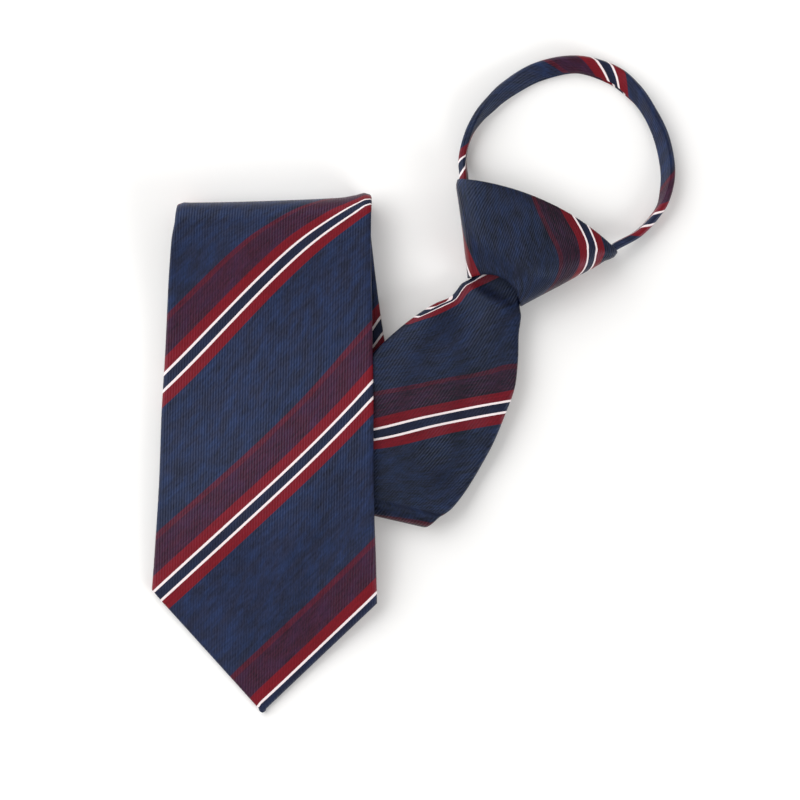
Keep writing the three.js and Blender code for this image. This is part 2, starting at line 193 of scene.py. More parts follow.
# Where the stripes fall along the blade, beside their even spacing: down it from the mouth, at the left
# edge, the middle and the right edge, in millimetres.
STRIPE_DRIFT = (
    # at, left, middle, right
    (-8, -6.0, -3.5, -0.9),
    (0, -6.5, -2.8, -0.4),
    (5, -8.2, -2.4, -0.7),
    (10, -12.7, -2.6, -1.6),
    (16, -14.2, -3.8, -3.1),
    (24, -12.2, -5.3, -1.6),
    (36, -9.1, -2.6, -0.7),
    (50, -3.4, -1.2, -1.5),
    (70, 2.1, -1.5, -4.4),
    (88, 12.3, 6.4, -8.1),
    (145, 15.5, 14.5, 13.4),
    (165, 16.5, 14.8, 12.8),
    (212, 23.5, 20.7, 18.7),
    (218, 24.7, 23.6, 24.4),
    (226, 26.4, 27.2, 26.5),
    (238, 27.5, 28.4, 28.2),
    (256, 27.2, 28.1, 29.3),
    (285, 25.7, 25.7, 27.6),
    (330, 26.1, 25.6, 26.7),
    (395, 24.6, 24.9, 24.6),
)

# How much closer the stripes lie at the very left edge by the knot, where the cloth turns under, and the
# shares of the blade's reach where that starts and over which it grows.
EDGE_DRIFT = (
    # at, shift
    (0, 1.2),
    (6, 1.9),
    (13, 2.6),
    (19, 2.2),
    (27, 0.7),
    (36, 0.0),
)
EDGE_DRIFT_START = 0.9
EDGE_DRIFT_SPAN = 0.1

# The neck loop, anticlockwise from the right arm: bearing from its centre, reach as a share of its radius,
# the roll of the strap from flat, the strap's width there as a share of its own, and how far along the
# stripes it is in millimetres.
LOOP_TABLE = (
    # bearing, reach, roll, width, stripes
    (-46, 1.026, 84, 0.80, 203.4),
    (-30, 1.045, 82, 0.82, 196.6),
    (-19, 1.026, 63, 0.90, 189.0),
    (-6, 0.990, 50, 0.96, 181.5),
    (12, 0.944, 45, 0.96, 172.5),
    (30, 0.922, 54, 0.97, 164.0),
    (46, 0.924, 34, 0.98, 156.0),
    (62, 0.933, 20, 0.98, 148.7),
    (84, 0.920, 32, 0.98, 138.8),
    (108, 0.894, 14, 0.96, 127.0),
    (130, 0.888, 27, 0.93, 117.5),
    (146, 0.914, 46, 0.90, 110.4),
    (156, 0.955, 66, 0.86, 105.9),
    (167, 0.996, 82, 0.72, 100.0),
    (180, 1.026, 82, 0.66, 93.7),
)

# The loop's two ends inside the knot: side, height above the knot's top edge in metres, then the roll,
# width and stripes as above.
LOOP_START = ((1, -0.0021, 84, 0.62, 213.0), (1, 0.001, 84, 0.66, 210.0))
LOOP_END = ((-1, 0.001, 74, 0.66, 87.8), (-1, -0.0021, 74, 0.62, 85.0))
ARM_INSET = 0.0019
ARM_LEVEL = 0.0062

# The strap: its clearance above the surface and the middle of its cloth in metres, how far the stripes lean
# across it, and its thickness as a share of its width.
STRAP_CLEARANCE = 0.0003
STRAP_MIDDLE = 0.0114
STRIPE_LEAN = 0.85
STRAP_FLATNESS = 0.34

# The stripes across one repeat, with their widths in millimetres and how much their ribs show; the ground
# fills the rest of it.
STRIPE_TABLE = (
    # name, width, ribs
    ("navy", 23.1, 1.0),
    ("violet_edge", 1.8, 0.8),
    ("violet", 8.5, 1.0),
    ("red", 3.7, 0.35),
    ("white", 0.85, 0.03),
    ("dark", 3.15, 0.5),
    ("white", 0.85, 0.03),
    ("red", 3.55, 0.35),
    ("navy", 0.0, 1.0),
)

# What mottles the cloth: its scale across the ribs and across the stripes, its detail, and its strength.
MOTTLING = {
    "threads": (2400.0, 1100.0, 2.0, 1.7),
    "streaks": (160.0, 1500.0, 2.0, 1.5),
    "patches": (210.0, 290.0, 3.0, 1.1),
    "clouds": (38.0, 46.0, 2.0, 0.8),
}

# Painted shade and light: the cloth is a little deeper round the knot and on the upper layer, standing in for
# the shade that the front casts there, and paler towards the point, standing in for the light on the front.
# Where along the stripes that changes, and by how much.
PAINTED_SHADE_AND_LIGHT = (("From Min", 0.070), ("From Max", 0.190), ("To Min", -0.24), ("To Max", 0.36))

# The way of the streaks on the map, how strongly the ribs colour the cloth, how far single threads cross a
# stripe's edge in metres, and the darkest tone.
STREAK_WAY = (-1.383, 0.956)
RIB_TONE = 0.12
STRAY_THREADS = 0.00010
DARKEST = 0.15

# The tints that the patches turn to, how strongly they swing from one to the other, and where they rest.
WARM_TINT = (1.06, 0.94, 0.88)
COOL_TINT = (0.80, 1.04, 1.22)
TINT_SWING = 3.0
TINT_MIDDLE = 0.5

# The cloth's relief: how much the threads raise it beside the ribs, and the share of it that stays on the
# smooth stripes.
THREAD_RELIEF = 0.8
SMOOTH_RELIEF = 0.2

# Whole repeats added to a place on the map, so that the count of stripes is never below nought.
SPARE_REPEATS = 20.0

# The darker part of a hidden piece's grain, as a share of its colour.
GRAIN_SHADE = 0.7

# The middle of the view on the surface, how high the camera looks above it, and the width of its sensor in
# millimetres.
VIEW_CENTRE = Vector((-0.00459, -0.00604, 0.0))
LOOK_LEVEL = 0.008
SENSOR = 36.0

# The floor's width in metres and its colour, and the colour of the room's light.
FLOOR_WIDTH = 8.0
FLOOR_COLOUR = (0.94, 0.935, 0.925, 1.0)
ROOM_COLOUR = (1.0, 0.99, 0.985, 1.0)

# The softboxes: where they stand, how strong they are beside the key, and how wide, in metres.
STUDIO_LIGHTS = (
    # name, place, power, width
    ("key", (-1.45, 0.9, 0.85), 1.0, 3.2),
    ("fill", (1.15, -0.9, 0.65), 0.17, 0.9),
)


def lerp(a, b, share):
    return a + (b - a) * share


def clamp(value, low=0.0, high=1.0):
    return max(low, min(high, value))


def smooth(share):
    share = clamp(share)
    return share * share * (3 - 2 * share)


def cosine(angle):
    return math.cos(math.radians(angle))


def sine(angle):
    return math.sin(math.radians(angle))


def toward(angle):
    """A unit vector in plan."""
    return Vector((cosine(angle), sine(angle), 0.0))


def read(rows, column, at):
    """A smooth curve through one column of a table whose first column is where, level past its ends."""
    if at <= rows[0][0]:
        return rows[0][column]
    if at >= rows[-1][0]:
        return rows[-1][column]
    i = next(k for k, row in enumerate(rows) if row[0] > at) - 1

    def slope(k):
        a, b = rows[max(k - 1, 0)], rows[min(k + 1, len(rows) - 1)]
        return (b[column] - a[column]) / (b[0] - a[0])

    span = rows[i + 1][0] - rows[i][0]
    t = (at - rows[i][0]) / span
    bend = t * (1 - t) ** 2 * slope(i) - t * t * (1 - t) * slope(i + 1)
    return lerp(rows[i][column], rows[i + 1][column], t * t * (3 - 2 * t)) + span * bend


def follow(start, heading, turn, length, distance):
    """The place and heading after some distance along a stretch that bends evenly."""
    now = heading + turn * distance / length
    radius = length / math.radians(turn)
    place = start.copy()
    place.x += radius * (sine(now) - sine(heading))
    place.y += radius * (cosine(heading) - cosine(now))
    return place, now


class Station:
    """One section across the blade: where it is, its reach to either side, and how its cloth lies there."""

    def __init__(self, place, across, out, left, right, run, stretch=1.0):
        self.place = place
        self.across = across
        self.out = out
        self.left = left
        self.right = right
        self.run = run
        self.stretch = stretch
        self.heights = None
        self.folds = ()
        self.edge = 0.0


def roll_stations(start, heading, line, radius, slip, side, half, ends, run, steps):
    """The sections of a roll about a fold line.

    The cloth goes round half a turn, up or down, and slips along the line.
    """
    ahead = toward(line + 90) if sine(heading - line) > 0 else toward(line - 90)
    square = abs(sine(heading - line))
    stations = []
    for i in range(steps + 1):
        turned = math.pi * i / steps
        place = start + toward(line) * slip * i / steps
        place += ahead * radius * math.sin(turned) + UP * side * radius * (1 - math.cos(turned))
        out = UP * -side * math.cos(turned) + ahead * math.sin(turned)
        left, right = (lerp(half / square, end, (1 - math.cos(turned)) / 2) for end in ends)
        if side < 0:
            right -= ROUND_CORNER * math.sin(turned)
        station = Station(place, toward(line), out, left, right, run + radius * turned, square)
        station.edge = math.sin(turned) if side > 0 else 0.0
        stations.append(station)
    return stations


def upper_stations(size):
    """The sections of the layer between the knot's mouth and the bottom fold."""
    stations = []
    steps = 64
    for i in range(steps):
        share = lerp(UPPER_TABLE[0][0], 1.0, i / steps)
        run = share * size.upper_length
        place, now = follow(MOUTH, KNOT_AXIS - 180, UPPER_TURN, size.upper_length, run)
        line = lerp(now + 90, BOTTOM_FOLD_ANGLE, smooth(share) * clamp(share))
        reach = [read(UPPER_TABLE, column, share) * size.bottom_fold_width / 2 for column in (1, 2)]
        station = Station(place, toward(line), UP, *reach, run)
        station.heights = [read(UPPER_TABLE, column, share) / 1000 for column in (3, 4, 5)]
        station.folds = UPPER_FOLDS
        stations.append(station)
    return stations


def middle_stations(size, start, heading, run):
    """The sections of the layer between the two folds, which lies face down."""
    ends = (size.bottom_fold_width / 2, size.top_fold_width / 2 - MIDDLE_DRAW)
    stations = []
    steps = 44
    for i in range(1, steps):
        share = i / steps
        place, now = follow(start, heading, MIDDLE_TURN, size.middle_length, share * size.middle_length)
        square = now - 90
        line = lerp(BOTTOM_FOLD_ANGLE, square, smooth(2 * share))
        line = lerp(line, TOP_FOLD_ANGLE, smooth(2 * share - 1))
        half = lerp(*ends, share) / cosine(square - line)
        here = run + share * size.middle_length
        stations.append(Station(place, toward(line), -UP, half, half, here, cosine(square - line)))
    return stations


def front_stations(size, start, run):
    """The sections of the front layer, from the top fold to the tip, closest at its blunt end."""
    tips = (size.tip_length, size.tip_length - size.tip_skew)
    shoulders = [1 - length / size.front_length for length in tips]
    end = size.tip_width / 2 / size.front_length
    panel, between, point, turn = 90, 4, 30, 18
    shares = [shoulders[0] * i / panel for i in range(1, panel + 1)]
    shares += [lerp(*shoulders, i / between) for i in range(1, between + 1)]
    shares += [lerp(shoulders[1], 1.0, i / point) for i in range(1, point)]
    shares += [1.0 - end * (1 - sine(angle)) for angle in range(0, 91, turn)]

    stations = []
    for share in shares:
        place = start + toward(FRONT_HEADING) * share * size.front_length
        line = lerp(TOP_FOLD_ANGLE, FRONT_HEADING + 90, smooth(3 * share))
        reach = []
        for column, shoulder in enumerate(shoulders, start=1):
            half = read(FRONT_TABLE, column, share) * size.blade_width / 2
            past = clamp((share - shoulder) / (1 - end - shoulder))
            half = lerp(half, size.tip_width / 2, past)
            round_off = clamp((share - 1 + end) / end)
            reach.append(half * math.sqrt(1 - END_ROUND * round_off ** 2))
        station = Station(place, toward(line), UP, *reach, run + share * size.front_length)
        station.heights = [
            start.z + read(FRONT_HEIGHTS, column, share) * size.top_fold_height for column in (1, 2, 3)
        ]
        stations.append(station)
    return stations


def blade_stations(size):
    """The blade's sections, from the knot's mouth over both folds to the tip."""
    half_bottom = size.bottom_fold_width / 2
    half_top = size.top_fold_width / 2

    stations = upper_stations(size)
    place, heading = follow(MOUTH, KNOT_AXIS - 180, UPPER_TURN, size.upper_length, size.upper_length)
    place.z = size.blade_thickness / 2 + size.bottom_fold_height
    radius = size.bottom_fold_height / 2
    run = size.upper_length
    ends = [half_bottom / abs(sine(heading - BOTTOM_FOLD_ANGLE))] * 2
    stations += roll_stations(
        place, heading, BOTTOM_FOLD_ANGLE, radius, size.bottom_fold_slip, -1, half_bottom, ends, run, steps=14
    )

    start = stations[-1].place
    heading = 2 * BOTTOM_FOLD_ANGLE - heading
    run += math.pi * radius
    stations += middle_stations(size, start, heading, run)

    place, heading = follow(start, heading, MIDDLE_TURN, size.middle_length, size.middle_length)
    radius = size.top_fold_height / 2
    run += size.middle_length
    ends = [share * size.blade_width / 2 for share in FRONT_TABLE[0][1:]]
    stations += roll_stations(
        place, heading, TOP_FOLD_ANGLE, radius, size.top_fold_slip, 1, half_top, ends, run, steps=18
    )

    start = stations[-1].place.copy()
    start.z = size.blade_thickness / 2
    run += math.pi * radius
    return stations + front_stations(size, start, run)


def blade_ring():
    """The blade's section as points of share across, share of half the thickness, and share of cloth.

    Cloth runs from the seam at the back, round the left edge, over the front and back to the seam.
    """
    columns, edge, bulge = 26, 6, 0.999
    points = []
    for i in range(columns + 1):
        points.append((lerp(0.0, -1.0, i / columns), -1.0, -2.0 + i / columns))
    for i in range(1, edge):
        turned = math.pi * i / edge
        points.append((-1.0 - math.sin(turned) * bulge, -math.cos(turned), -1.0))
    for i in range(2 * columns + 1):
        points.append((lerp(-1.0, 1.0, i / (2 * columns)), 1.0, lerp(-1.0, 1.0, i / (2 * columns))))
    for i in range(1, edge):
        turned = math.pi * i / edge
        points.append((1.0 + math.sin(turned) * bulge, math.cos(turned), 1.0))
    for i in range(columns + 1):
        points.append((lerp(1.0, 0.0, i / columns), -1.0, 1.0 + i / columns))
    return points


def blade_point(size, station, point):
    """One point of the blade: its place, and its place on the flat cloth."""
    share, face, cloth = point
    rounding = size.blade_thickness / 2
    beyond = max(abs(share) - 1.0, 0.0)
    share = clamp(share, -1.0, 1.0)
    half = station.left if share < 0 else station.right
    flat_half = max(half - rounding, half * FLAT_SHARE)
    x = share * flat_half + math.copysign(beyond, share) * min(rounding, half * ROUND_SHARE)
    y = face * size.blade_thickness / 2
    if face < 0 and beyond == 0.0:
        near = abs(x) / SEAM_WIDTH
        y += SEAM_DEPTH * math.exp(-near * near) * clamp(half / SEAM_FULL)
    place = station.place + station.across * x
    if station.heights:
        place.z = across_curve(station.heights, share) + fold_height(station.folds, place)
    if station.edge:
        inward = UP.cross(station.across) * -read(TOP_EDGE, 1, share) / 1000
        place += (inward + station.across * TOP_EDGE_SHIFT) * station.edge
    reach = abs(x) if abs(cloth) < 1.0 or face > 0 else 2 * half - abs(x)
    return place + station.out * y, math.copysign(reach, cloth) * station.stretch


def across_curve(values, share):
    """A value somewhere across the blade, from those at its left edge, middle and right edge."""
    left, middle, right = values
    return middle + (right - left) / 2 * share + ((left + right) / 2 - middle) * share * share


def fold_height(folds, place):
    """How far the soft folds lift the cloth at a place."""
    height = 0.0
    for width, rise, *points in folds:
        nearest = 1.0
        for point, following in zip(points, points[1:]):
            start = Vector(point) / 1000
            way = Vector(following) / 1000 - start
            from_start = place.xy - start
            along = clamp(from_start.dot(way) / way.length_squared)
            nearest = min(nearest, (from_start - way * along).length)
        aside = nearest * 1000 / width
        height += rise / 1000 * math.exp(-aside * aside)
    return height


def drift(run, share):
    """How far the stripes are from their even spacing, somewhere across the blade."""
    values = [read(STRIPE_DRIFT, column, run * 1000) / 1000 for column in (1, 2, 3)]
    turned = clamp((-share - EDGE_DRIFT_START) / EDGE_DRIFT_SPAN)
    shift = read(EDGE_DRIFT, 1, run * 1000) / 1000
    return across_curve(values, clamp(share, -1.0, 1.0)) - shift * turned ** 2


class TieSizes(bpy.types.PropertyGroup):
    """Sizes of the tie."""

    blade_width: FloatProperty(
        name="Blade Width", description="Across the blade at its shoulders", default=0.080, unit="LENGTH"
    )
    top_fold_width: FloatProperty(
        name="Top Fold Width", description="Across the blade at its top fold", default=0.0681, unit="LENGTH"
    )
    bottom_fold_width: FloatProperty(
        name="Bottom Fold Width", description="Across the blade at its bottom fold",
        default=0.057, unit="LENGTH",
    )
    tip_width: FloatProperty(
        name="Tip Width", description="Across the blunt end of the point", default=0.0027, unit="LENGTH"
    )
    blade_thickness: FloatProperty(
        name="Blade Thickness", description="Front cloth to back seam", default=0.0024, unit="LENGTH"
    )
    upper_length: FloatProperty(
        name="Upper Length", description="From the knot's mouth to the bottom fold",
        default=0.0888, unit="LENGTH",
    )
    middle_length: FloatProperty(
        name="Middle Length", description="Between the two folds", default=0.0994, unit="LENGTH"
    )
    front_length: FloatProperty(
        name="Front Length", description="From the top fold to the tip", default=0.1754, unit="LENGTH"
    )
    tip_length: FloatProperty(
        name="Tip Length", description="From the left shoulder to the tip", default=0.0428, unit="LENGTH"
    )
    tip_skew: FloatProperty(
        name="Tip Skew", description="How much nearer the tip the right shoulder is",
        default=0.0030, unit="LENGTH",
    )
    bottom_fold_slip: FloatProperty(
        name="Bottom Fold Slip", description="How far the blade shifts along its bottom fold",
        default=-0.0060, unit="LENGTH",
    )
    top_fold_slip: FloatProperty(
        name="Top Fold Slip", description="How far the blade shifts along its top fold",
        default=-0.0005, unit="LENGTH",
    )
    bottom_fold_height: FloatProperty(
        name="Bottom Fold Height", description="Between the layers at the bottom fold",
        default=0.0075, unit="LENGTH",
    )
    top_fold_height: FloatProperty(
        name="Top Fold Height", description="Between the layers at the top fold",
        default=0.0125, unit="LENGTH",
    )
    knot_height: FloatProperty(
        name="Knot Height", description="From the mouth to the top edge", default=0.0364, unit="LENGTH"
    )
    knot_top_half: FloatProperty(
        name="Knot Half Width", description="Half the knot's width at its top", default=0.0352, unit="LENGTH"
    )
    mouth_half: FloatProperty(
        name="Mouth Half Width", description="Half the knot's width at its mouth",
        default=0.0109, unit="LENGTH",
    )
    knot_thickness: FloatProperty(
        name="Knot Thickness", description="Front to back", default=0.019, unit="LENGTH"
    )
    knot_wall: FloatProperty(
        name="Knot Wall", description="Thickness of the wrapped cloth", default=0.001, unit="LENGTH"
    )
    rim_drop: FloatProperty(
        name="Rim Drop", description="How far the top edge falls towards its ends",
        default=0.0081, unit="LENGTH",
    )
    rim_peak: FloatProperty(
        name="Rim Peak", description="Where the top edge is highest, right of the axis",
        default=0.0065, unit="LENGTH",
    )
    mouth_arch: FloatProperty(
        name="Mouth Arch", description="How far the mouth's edge rises in its middle",
        default=0.0059, unit="LENGTH",
    )
    strap_width: FloatProperty(
        name="Strap Width", description="Across the folded neck strap", default=0.0074, unit="LENGTH"
    )
    strap_thickness: FloatProperty(
        name="Strap Thickness", description="Of the folded neck strap", default=0.0025, unit="LENGTH"
    )
    loop_radius: FloatProperty(
        name="Loop Radius", description="Half the neck loop's width", default=0.036, unit="LENGTH"
    )
    loop_centre: FloatProperty(
        name="Loop Centre", description="From the knot's mouth, up its axis", default=0.0543, unit="LENGTH"
    )
    rib_spacing: FloatProperty(
        name="Rib Spacing", description="Between the cloth's fine ribs", default=0.00095, unit="LENGTH"
    )
    repeat: FloatProperty(
        name="Stripe Repeat", description="From one group of stripes to the next",
        default=0.054, unit="LENGTH",
    )


def colour_property(name, description, default):
    return FloatVectorProperty(
        name=name, description=description, default=default, size=3, min=0.0, max=1.0, subtype="COLOR"
    )


class TieColours(bpy.types.PropertyGroup):
    """Colours of the tie, linear."""

    navy: colour_property("Navy", "Ground of the cloth", (0.0106, 0.0138, 0.0340))
    violet: colour_property("Violet", "Wide band, red threads over the ground", (0.0315, 0.0060, 0.0152))
    violet_edge: colour_property("Violet Edge", "Redder edge of the wide band", (0.0620, 0.0056, 0.0125))
    red: colour_property("Red", "Narrow bands", (0.136, 0.0038, 0.0072))
    white: colour_property("White", "Thin lines", (0.76, 0.75, 0.80))
    dark: colour_property("Dark", "Thread beside the white lines", (0.0100, 0.0120, 0.0300))
    core: colour_property("Core", "Moulded core of the knot", (0.012, 0.012, 0.016))
    tape: colour_property("Tape", "Zip tapes", (0.016, 0.022, 0.055))
    teeth: colour_property("Teeth", "Zip teeth", (0.030, 0.036, 0.075))
    metal: colour_property("Metal", "Zip slider", (0.46, 0.46, 0.48))


class StudioSettings(bpy.types.PropertyGroup):
    """Floor, camera and lights."""

    field: FloatProperty(
        name="Field", description="Width of what the camera sees on the tie", default=0.2832, unit="LENGTH"
    )
    distance: FloatProperty(
        name="Distance", description="From the camera to the surface", default=1.5, unit="LENGTH"
    )
    key: FloatProperty(name="Key", description="Power of the main softbox", default=78.0, unit="POWER")
    fill: FloatProperty(name="Fill", description="Strength of the room's light", default=0.48)


def stripe_stops(size, colours):
    """Where each stripe starts along one repeat, with its colour and how much its ribs show."""
    at = 0.0
    stops = []
    for name, width, ribs in STRIPE_TABLE:
        stops.append((at, (*getattr(colours, name), ribs)))
        at += width * 0.001 / size.repeat
    return stops


def maths(tree, operation, *values):
    made = tree.nodes.new("ShaderNodeMath")
    made.operation = operation
    for slot, value in zip(made.inputs, values):
        if isinstance(value, bpy.types.NodeSocket):
            tree.links.new(value, slot)
        else:
            slot.default_value = value
    return made.outputs[0]


def mix(tree, share, a, b, blend="MIX"):
    made = tree.nodes.new("ShaderNodeMix")
    made.data_type = "RGBA"
    made.blend_type = blend
    for slot, value in ((made.inputs[0], share), (made.inputs[6], a), (made.inputs[7], b)):
        if isinstance(value, bpy.types.NodeSocket):
            tree.links.new(value, slot)
        else:
            slot.default_value = (*value, 1.0) if hasattr(value, "__len__") and len(value) == 3 else value
    return made.outputs[2]


def new_material(name):
    material = bpy.data.materials.new(name)
    material.use_nodes = True
    tree = material.node_tree
    tree.nodes.clear()
    shader = tree.nodes.new("ShaderNodeBsdfPrincipled")
    out = tree.nodes.new("ShaderNodeOutputMaterial")
    tree.links.new(shader.outputs[0], out.inputs[0])
    return material, tree, shader


def mottling(tree, flat, across, stripes):
    """What mottles the cloth, by name, as noise about nought.

    The streaks run on a slanted map of their own.
    """
    along = maths(tree, "MULTIPLY", stripes, STREAK_WAY[1])
    along = maths(tree, "MULTIPLY_ADD", across, STREAK_WAY[0], along)
    slanted = tree.nodes.new("ShaderNodeCombineXYZ")
    tree.links.new(along, slanted.inputs[0])
    tree.links.new(stripes, slanted.inputs[1])
    noises = {}
    for name, (x_scale, y_scale, detail, _) in MOTTLING.items():
        mapping = tree.nodes.new("ShaderNodeMapping")
        mapping.inputs["Scale"].default_value = (x_scale, y_scale, 1.0)
        tree.links.new(slanted.outputs[0] if name == "streaks" else flat, mapping.inputs[0])
        noise = tree.nodes.new("ShaderNodeTexNoise")
        noise.noise_dimensions = "2D"
        noise.inputs["Scale"].default_value = 1.0
        noise.inputs["Detail"].default_value = detail
        tree.links.new(mapping.outputs[0], noise.inputs["Vector"])
        noises[name] = maths(tree, "SUBTRACT", noise.outputs[0], 0.5)
    return noises


def woven_stripes(tree, size, colours, stripes, threads):
    """The stripes' colour and how much their ribs show, with single threads astray at each edge."""
    share = maths(tree, "MULTIPLY_ADD", threads, STRAY_THREADS, stripes)
    share = maths(tree, "FRACT", maths(tree, "MULTIPLY_ADD", share, 1.0 / size.repeat, SPARE_REPEATS))
    ramp = tree.nodes.new("ShaderNodeValToRGB")
    ramp.color_ramp.interpolation = "CONSTANT"
    tree.links.new(share, ramp.inputs[0])
    stops = stripe_stops(size, colours)
    elements = ramp.color_ramp.elements
    while len(elements) < len(stops):
        elements.new(0.5)
    for element, (at, colour) in zip(elements, stops):
        element.position = at
        element.color = colour
    return ramp.outputs[0], ramp.outputs[1]


def striped_cloth(size, colours):
    """Ribbed twill with woven stripes. The map's U is across the ribs and its V is across the stripes."""
    material, tree, shader = new_material("striped_twill")
    uv = tree.nodes.new("ShaderNodeUVMap")
    uv.uv_map = "cloth"
    split = tree.nodes.new("ShaderNodeSeparateXYZ")
    tree.links.new(uv.outputs[0], split.inputs[0])
    across, stripes = split.outputs[0], split.outputs[1]

    ribs = maths(tree, "SINE", maths(tree, "MULTIPLY", across, math.tau / size.rib_spacing))
    noises = mottling(tree, uv.outputs[0], across, stripes)
    woven, ribbed = woven_stripes(tree, size, colours, stripes, noises["threads"])

    # Painted shade and light along the stripes: darker by the knot and on the upper layer, paler towards the
    # point.
    painted_shade_and_light = tree.nodes.new("ShaderNodeMapRange")
    painted_shade_and_light.interpolation_type = "SMOOTHSTEP"
    for slot, value in PAINTED_SHADE_AND_LIGHT:
        painted_shade_and_light.inputs[slot].default_value = value
    tree.links.new(stripes, painted_shade_and_light.inputs["Value"])

    texture = maths(tree, "MULTIPLY_ADD", ribs, RIB_TONE, painted_shade_and_light.outputs[0])
    for name, noise in noises.items():
        texture = maths(tree, "MULTIPLY_ADD", noise, MOTTLING[name][-1], texture)
    texture = maths(tree, "MULTIPLY", texture, ribbed)
    tone = maths(tree, "MAXIMUM", maths(tree, "ADD", texture, 1.0), DARKEST)
    hue = maths(tree, "MULTIPLY_ADD", noises["patches"], TINT_SWING, TINT_MIDDLE)
    hue = maths(tree, "MULTIPLY", hue, ribbed)
    base = mix(tree, 1.0, woven, mix(tree, hue, WARM_TINT, COOL_TINT), "MULTIPLY")
    grey = tree.nodes.new("ShaderNodeCombineColor")
    for slot in grey.inputs:
        tree.links.new(tone, slot)
    base = mix(tree, 1.0, base, grey.outputs[0], "MULTIPLY")
    tree.links.new(base, shader.inputs["Base Color"])

    shader.inputs["Roughness"].default_value = 0.40
    shader.inputs["Specular IOR Level"].default_value = 0.25
    shader.inputs["Specular Tint"].default_value = (0.58, 0.72, 1.0, 1.0)

    height = maths(tree, "MULTIPLY_ADD", noises["threads"], THREAD_RELIEF, ribs)
    relief = maths(tree, "MULTIPLY_ADD", ribbed, 1 - SMOOTH_RELIEF, SMOOTH_RELIEF)
    bump = tree.nodes.new("ShaderNodeBump")
    bump.inputs["Strength"].default_value = 0.6
    bump.inputs["Distance"].default_value = 0.00009
    tree.links.new(maths(tree, "MULTIPLY", height, relief), bump.inputs["Height"])
    tree.links.new(bump.outputs[0], shader.inputs["Normal"])
    return material


def plain_material(name, colour, roughness, metallic=0.0, scale=900.0, depth=0.00005):
    """A hidden piece's finish: one colour with fine grain."""
    material, tree, shader = new_material(name)
    place = tree.nodes.new("ShaderNodeTexCoord")
    grain = tree.nodes.new("ShaderNodeTexNoise")
    grain.inputs["Scale"].default_value = scale
    grain.inputs["Detail"].default_value = 3.0
    tree.links.new(place.outputs["Object"], grain.inputs["Vector"])
    darker = tuple(GRAIN_SHADE * part for part in colour)
    base = mix(tree, grain.outputs[0], darker, tuple(colour))
    tree.links.new(base, shader.inputs["Base Color"])
    shader.inputs["Roughness"].default_value = roughness
    shader.inputs["Metallic"].default_value = metallic
    bump = tree.nodes.new("ShaderNodeBump")
    bump.inputs["Strength"].default_value = 0.4
    bump.inputs["Distance"].default_value = depth
    tree.links.new(grain.outputs[0], bump.inputs["Height"])
    tree.links.new(bump.outputs[0], shader.inputs["Normal"])
    return material


def cloth_material(context):
    made = bpy.data.materials.get("striped_twill")
    return made or striped_cloth(context.scene.tie_sizes, context.scene.tie_colours)


def cloth_tube(name, around, along, shape, material, caps=True):
    """A closed cloth form from a grid that is rolled into a tube, with a map of the flat cloth."""
    bpy.ops.object.select_all(action="DESELECT")
    bpy.ops.mesh.primitive_grid_add(x_subdivisions=around, y_subdivisions=along, size=1.0)
    piece = bpy.context.object
    piece.name = name
    mesh = piece.data
    mesh.name = name
    table = {}
    for column in range(around + 1):
        for row in range(along + 1):
            table[column, row] = shape(column, row)
    cells = [(round((v.co.x + 0.5) * around), round((v.co.y + 0.5) * along)) for v in mesh.vertices]
    layer = mesh.uv_layers[0]
    layer.name = "cloth"
    for loop in mesh.loops:
        layer.data[loop.index].uv = table[cells[loop.vertex_index]][1]
    for vertex, cell in zip(mesh.vertices, cells):
        vertex.co = table[cell][0]
    bpy.ops.object.mode_set(mode="EDIT")
    bpy.ops.mesh.select_all(action="SELECT")
    bpy.ops.mesh.remove_doubles(threshold=0.000001)
    if caps:
        bpy.ops.mesh.select_all(action="DESELECT")
        bpy.ops.mesh.select_mode(type="EDGE")
        bpy.ops.mesh.select_non_manifold(extend=False, use_wire=False, use_multi_face=False,
                                         use_non_contiguous=False, use_verts=False)
        bpy.ops.mesh.edge_face_add()
    bpy.ops.mesh.select_all(action="SELECT")
    bpy.ops.mesh.normals_make_consistent(inside=False)
    bpy.ops.object.mode_set(mode="OBJECT")
    bpy.ops.object.shade_smooth()
    mesh.materials.clear()
    mesh.materials.append(material)
    return piece


class TIE_OT_blade(bpy.types.Operator):
    """Model the padded blade along its folds"""

    bl_idname = "tie.blade"
    bl_label = "Add Blade"

    def execute(self, context):
        size = context.scene.tie_sizes
        stations = blade_stations(size)
        ring = blade_ring()

        def shape(column, row):
            station = stations[row]
            place, cloth = blade_point(size, station, ring[column])
            stripes = cloth * cosine(STRIPE_ANGLE) + station.run * sine(STRIPE_ANGLE)
            return place, (cloth, stripes + drift(station.run, ring[column][0]))

        piece = cloth_tube("tie_blade", len(ring) - 1, len(stations) - 1, shape, cloth_material(context))
        bpy.ops.object.select_all(action="DESELECT")
        piece.select_set(True)
        context.view_layer.objects.active = piece
        bpy.ops.object.shade_smooth_by_angle(angle=math.radians(CREASE_ANGLE))
        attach(piece, "root")
        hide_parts("blade")
        return {"FINISHED"}


def in_knot(up, right, height):
    """A point of the knot's own frame: up its axis, to the right of it, and above the surface."""
    return MOUTH + toward(KNOT_AXIS) * up + toward(KNOT_AXIS - 90) * right + UP * height


def knot_half(size, up, side):
    """How far the knot reaches to the left or right of its axis."""
    return size.knot_top_half * read(KNOT_TABLE, 1 if side < 0 else 2, up / size.knot_height)


def top_rim(size, right):
    """How far up the knot's axis its top edge is, to one side of it."""
    return size.knot_height - size.rim_drop * ((right - size.rim_peak) / RIM_REACH) ** 2


def mouth_rim(size, right):
    """How far up the knot's axis the edge of its mouth is, to one side of it."""
    return size.mouth_arch * (1 - (right / size.mouth_half) ** 2)


